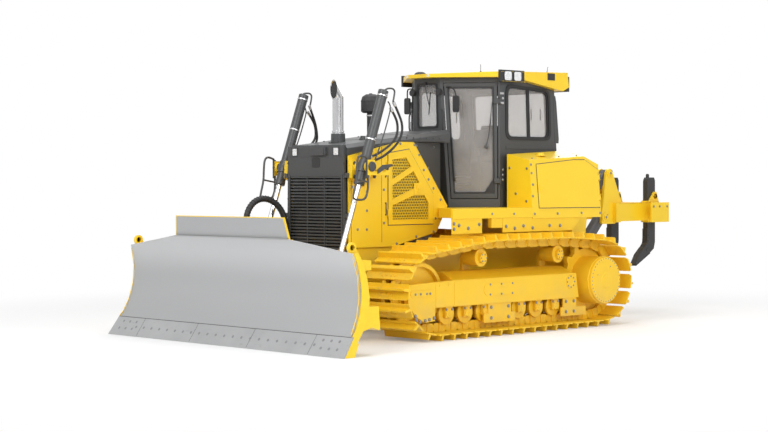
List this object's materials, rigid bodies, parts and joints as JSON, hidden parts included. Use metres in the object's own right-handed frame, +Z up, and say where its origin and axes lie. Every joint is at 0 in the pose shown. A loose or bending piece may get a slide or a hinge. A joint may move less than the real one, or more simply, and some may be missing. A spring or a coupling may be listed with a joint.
{
  "type": "crawler bulldozer with an angling blade and a ripper",
  "caption": "Crawler bulldozer with a lifting, angling and tilting blade, an enclosed cab and a parallelogram ripper.",
  "frame": {"origin": "on the ground, in the middle of the machine's length from the cutting edge to the ripper beam, on its centre line", "axes": "+X forward, towards the blade; +Y to the machine's left; +Z up"},
  "size_m": [7.29, 4.27, 3.262],
  "materials": {
    "body_yellow": "satin paint",
    "charcoal_paint": "satin paint",
    "track_steel": "painted steel",
    "blade_grey": "satin metallic paint",
    "ram_barrel": "satin paint",
    "ram_rod": "polished",
    "stack_chrome": "polished",
    "dark_plastic": "matt",
    "lamp_lens": "clear",
    "window_glass": "tinted",
    "mesh_metal": "expanded metal",
    "seat_fabric": "woven",
    "link_grey": "satin paint",
    "shank_black": "dark steel",
    "engine_yellow": "cast"
  },
  "bodies": {
    "chassis": {"track_left": "track_steel", "track_right": "track_steel", "rollers": "track_steel", "idlers": "track_steel", "final_drives": "body_yellow", "track_frames": "body_yellow", "main_frame": "body_yellow", "engine": "engine_yellow", "hood": "charcoal_paint", "front_head": "charcoal_paint", "grille": "charcoal_paint", "front_lamps": "lamp_lens", "engine_shields": "body_yellow", "cowl": "charcoal_paint", "exhaust_stack": "stack_chrome", "precleaner": "dark_plastic", "lift_brackets": "body_yellow", "platform": "body_yellow", "tanks": "body_yellow", "rear_tank": "body_yellow", "cab": "charcoal_paint", "cab_glass": "window_glass", "cab_roof": "body_yellow", "seat": "seat_fabric", "console": "dark_plastic"},
    "push_frame": {"push_frame": "body_yellow"},
    "blade_carrier": {"blade_carrier": "body_yellow"},
    "blade": {"blade": "body_yellow", "mouldboard": "blade_grey", "cutting_edge": "blade_grey", "spill_guard": "blade_grey"},
    "lift_tube_left": {"lift_tube_left": "ram_barrel"},
    "lift_tube_right": {"lift_tube_right": "ram_barrel"},
    "lift_rod_left": {"lift_rod_left": "ram_rod"},
    "lift_rod_right": {"lift_rod_right": "ram_rod"},
    "angle_tube_left": {"angle_tube_left": "ram_barrel"},
    "angle_tube_right": {"angle_tube_right": "ram_barrel"},
    "angle_rod_left": {"angle_rod_left": "ram_rod"},
    "angle_rod_right": {"angle_rod_right": "ram_rod"},
    "tilt_tube": {"tilt_tube": "ram_barrel"},
    "tilt_rod": {"tilt_rod": "ram_rod"},
    "cab_door_left": {"cab_door_left": "charcoal_paint", "door_glass_left": "window_glass"},
    "cab_door_right": {"cab_door_right": "charcoal_paint", "door_glass_right": "window_glass"},
    "engine_door_left": {"engine_door_left": "body_yellow", "door_mesh_left": "mesh_metal"},
    "engine_door_right": {"engine_door_right": "body_yellow", "door_mesh_right": "mesh_metal"},
    "hatch_left": {"hatch_left": "body_yellow"},
    "hatch_right": {"hatch_right": "body_yellow"},
    "ripper_lower_links": {"ripper_lower_links": "link_grey"},
    "ripper_upper_links": {"ripper_upper_links": "link_grey"},
    "ripper": {"ripper_frame": "body_yellow", "ripper_shanks": "shank_black"},
    "ripper_tubes": {"ripper_tubes": "ram_barrel"},
    "ripper_rods": {"ripper_rods": "ram_rod"}
  },
  "joints": [
    {"name": "lift", "type": "hinge", "parent": "chassis", "child": "push_frame", "pos_m": [0.445, 0, 0.55], "axis": [0, -1, 0], "range_deg": [-10, 20]},
    {"name": "angle", "type": "hinge", "parent": "push_frame", "child": "blade_carrier", "pos_m": [2.795, 0, 0.43], "axis": [0, 0, 1], "range_deg": [-25, 25]},
    {"name": "tilt", "type": "hinge", "parent": "blade_carrier", "child": "blade", "pos_m": [3.05, 0, 0.43], "axis": [1, 0, 0], "range_deg": [-8, 8]},
    {"name": "lift_tube_left", "type": "hinge", "parent": "chassis", "child": "lift_tube_left", "pos_m": [2.013, 0.715, 2.03], "axis": [0, -1, 0], "range_deg": [-3.2, 6.2]},
    {"name": "lift_rod_left", "type": "slide", "parent": "lift_tube_left", "child": "lift_rod_left", "axis": [0.3416, 0, -0.9399], "range_m": [-0.71, 0.36]},
    {"name": "angle_tube_left", "type": "hinge", "parent": "push_frame", "child": "angle_tube_left", "pos_m": [1.695, 0.6, 0.6], "axis": [0, 0, 1], "range_deg": [-5, 5]},
    {"name": "angle_rod_left", "type": "slide", "parent": "angle_tube_left", "child": "angle_rod_left", "axis": [0.9929, 0.1191, 0], "range_m": [-0.32, 0.32]},
    {"name": "lift_tube_right", "type": "hinge", "parent": "chassis", "child": "lift_tube_right", "pos_m": [2.013, -0.715, 2.03], "axis": [0, -1, 0], "range_deg": [-3.2, 6.2]},
    {"name": "lift_rod_right", "type": "slide", "parent": "lift_tube_right", "child": "lift_rod_right", "axis": [0.3416, 0, -0.9399], "range_m": [-0.71, 0.36]},
    {"name": "angle_tube_right", "type": "hinge", "parent": "push_frame", "child": "angle_tube_right", "pos_m": [1.695, -0.6, 0.6], "axis": [0, 0, 1], "range_deg": [-5, 5]},
    {"name": "angle_rod_right", "type": "slide", "parent": "angle_tube_right", "child": "angle_rod_right", "axis": [0.9929, -0.1191, 0], "range_m": [-0.32, 0.32]},
    {"name": "tilt_tube", "type": "hinge", "parent": "blade_carrier", "child": "tilt_tube", "pos_m": [3, -0.3, 0.74], "axis": [1, 0, 0], "range_deg": [-5.6, 5.6]},
    {"name": "tilt_rod", "type": "slide", "parent": "tilt_tube", "child": "tilt_rod", "axis": [0, 0.9919, 0.1272], "range_m": [-0.05, 0.05]},
    {"name": "cab_door_left", "type": "hinge", "parent": "chassis", "child": "cab_door_left", "pos_m": [-0.251, 0.8, 2.3], "axis": [0, 0, 1], "range_deg": [0, 100]},
    {"name": "engine_door_left", "type": "hinge", "parent": "chassis", "child": "engine_door_left", "pos_m": [1.47, 0.57, 1.8], "axis": [0, 0, -1], "range_deg": [0, 110]},
    {"name": "hatch_left", "type": "hinge", "parent": "chassis", "child": "hatch_left", "pos_m": [-1.628, 1.27847, 1.7875], "axis": [0, -0.0828, 0.9966], "range_deg": [0, 110]},
    {"name": "cab_door_right", "type": "hinge", "parent": "chassis", "child": "cab_door_right", "pos_m": [-0.251, -0.8, 2.3], "axis": [0, 0, -1], "range_deg": [0, 100]},
    {"name": "engine_door_right", "type": "hinge", "parent": "chassis", "child": "engine_door_right", "pos_m": [1.47, -0.57, 1.8], "axis": [0, 0, 1], "range_deg": [0, 110]},
    {"name": "hatch_right", "type": "hinge", "parent": "chassis", "child": "hatch_right", "pos_m": [-1.628, -1.27847, 1.7875], "axis": [0, -0.0828, -0.9966], "range_deg": [0, 110]},
    {"name": "ripper", "type": "hinge", "parent": "chassis", "child": "ripper_lower_links", "pos_m": [-1.99, 0, 0.8], "axis": [0, -1, 0], "range_deg": [0, 75]},
    {"name": "ripper_frame", "type": "hinge", "parent": "ripper_lower_links", "child": "ripper", "pos_m": [-2.53, 0, 1.363], "axis": [0, -1, 0], "range_deg": [-75, 0]},
    {"name": "ripper_upper", "type": "hinge", "parent": "chassis", "child": "ripper_upper_links", "pos_m": [-2.087, 0, 1.395], "axis": [0, -1, 0], "range_deg": [0, 75]},
    {"name": "ripper_tubes", "type": "hinge", "parent": "chassis", "child": "ripper_tubes", "pos_m": [-1.99, 0, 0.8], "axis": [0, -1, 0], "range_deg": [0, 45.5]},
    {"name": "ripper_rods", "type": "slide", "parent": "ripper_tubes", "child": "ripper_rods", "axis": [-0.482, 0, 0.8762], "range_m": [-0.48, 0]}
  ],
  "couplings": [
    {"joint": "lift_tube_left", "follows": "lift", "ratio": 0.29278},
    {"joint": "lift_rod_left", "follows": "lift", "m_per_rad": -2.0052},
    {"joint": "angle_tube_left", "follows": "angle", "ratio": 0.18931},
    {"joint": "angle_rod_left", "follows": "angle", "m_per_rad": -0.72334},
    {"joint": "lift_tube_right", "follows": "lift", "ratio": 0.29278},
    {"joint": "lift_rod_right", "follows": "lift", "m_per_rad": -2.0052},
    {"joint": "angle_tube_right", "follows": "angle", "ratio": 0.18931},
    {"joint": "angle_rod_right", "follows": "angle", "m_per_rad": 0.72334},
    {"joint": "tilt_tube", "follows": "tilt", "ratio": 0.67154},
    {"joint": "tilt_rod", "follows": "tilt", "m_per_rad": -0.34549},
    {"joint": "ripper_frame", "follows": "ripper", "ratio": -1},
    {"joint": "ripper_upper", "follows": "ripper", "ratio": 1},
    {"joint": "ripper_tubes", "follows": "ripper", "ratio": 0.59445},
    {"joint": "ripper_rods", "follows": "ripper", "m_per_rad": -0.36038}
  ]
}
